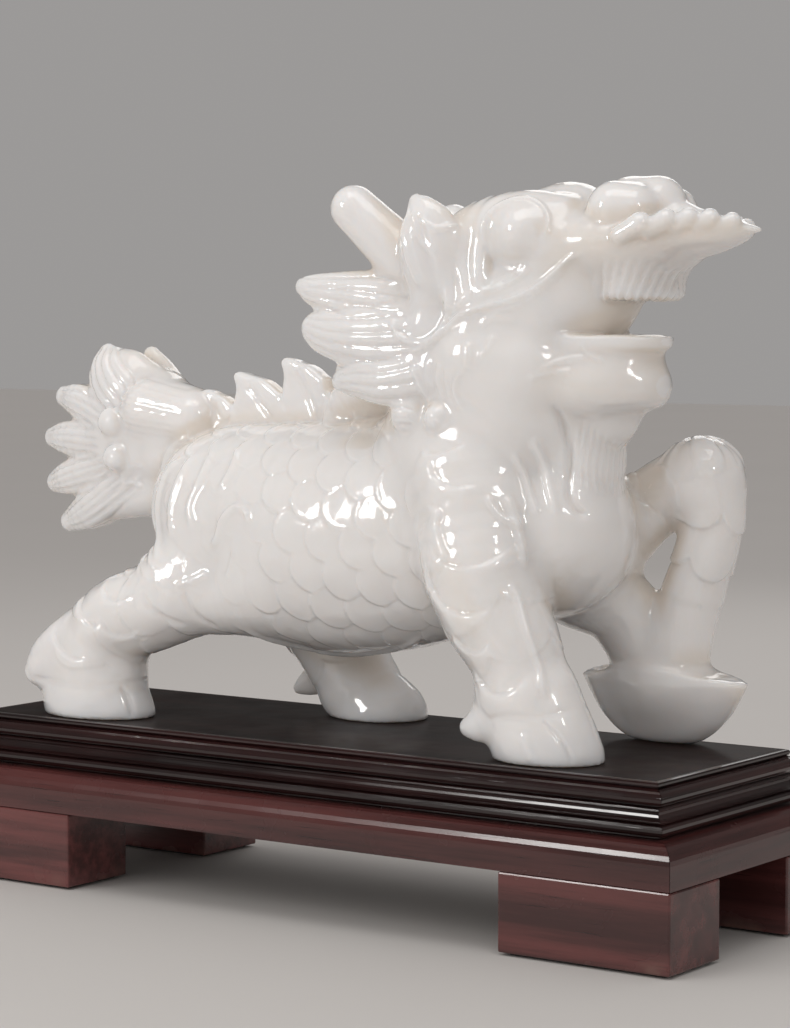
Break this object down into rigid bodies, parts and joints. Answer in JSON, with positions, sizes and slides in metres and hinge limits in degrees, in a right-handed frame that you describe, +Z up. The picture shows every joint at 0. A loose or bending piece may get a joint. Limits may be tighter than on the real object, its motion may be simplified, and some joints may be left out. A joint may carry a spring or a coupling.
{
  "type": "carved beast statue",
  "caption": "Carved white stone beast with horns, scales and a flame-shaped tail, a forefoot raised on a boat-shaped ingot, on a moulded hardwood display stand.",
  "frame": {"origin": "centre of the stand's footprint, on the plane under its felt pads", "axes": "+Z up, +X towards the beast's head, -Y towards its right flank"},
  "size_m": [0.4, 0.14, 0.322],
  "materials": {
    "white_stone": "polished",
    "stand_lacquer": "satin lacquer",
    "inner_wood": "bare",
    "felt": "felt"
  },
  "bodies": {
    "root": {"apron_rail_back": "stand_lacquer", "apron_rail_front": "stand_lacquer", "apron_rail_left": "stand_lacquer", "apron_rail_right": "stand_lacquer", "batten_left": "inner_wood", "batten_right": "inner_wood", "carved_figure": "white_stone", "cove_moulding_back": "stand_lacquer", "cove_moulding_front": "stand_lacquer", "cove_moulding_left": "stand_lacquer", "cove_moulding_right": "stand_lacquer", "dowel_back_left_1": "inner_wood", "dowel_back_left_2": "inner_wood", "dowel_back_right_1": "inner_wood", "dowel_back_right_2": "inner_wood", "dowel_front_left_1": "inner_wood", "dowel_front_left_2": "inner_wood", "dowel_front_right_1": "inner_wood", "dowel_front_right_2": "inner_wood", "felt_pad_back_left": "felt", "felt_pad_back_right": "felt", "felt_pad_front_left": "felt", "felt_pad_front_right": "felt", "foot_back_left": "stand_lacquer", "foot_back_right": "stand_lacquer", "foot_front_left": "stand_lacquer", "foot_front_right": "stand_lacquer", "frame_rail_back": "stand_lacquer", "frame_rail_front": "stand_lacquer", "frame_rail_left": "stand_lacquer", "frame_rail_right": "stand_lacquer", "glue_block_back_left": "inner_wood", "glue_block_back_right": "inner_wood", "glue_block_front_left": "inner_wood", "glue_block_front_right": "inner_wood", "top_panel": "stand_lacquer"}
  },
  "joints": []
}
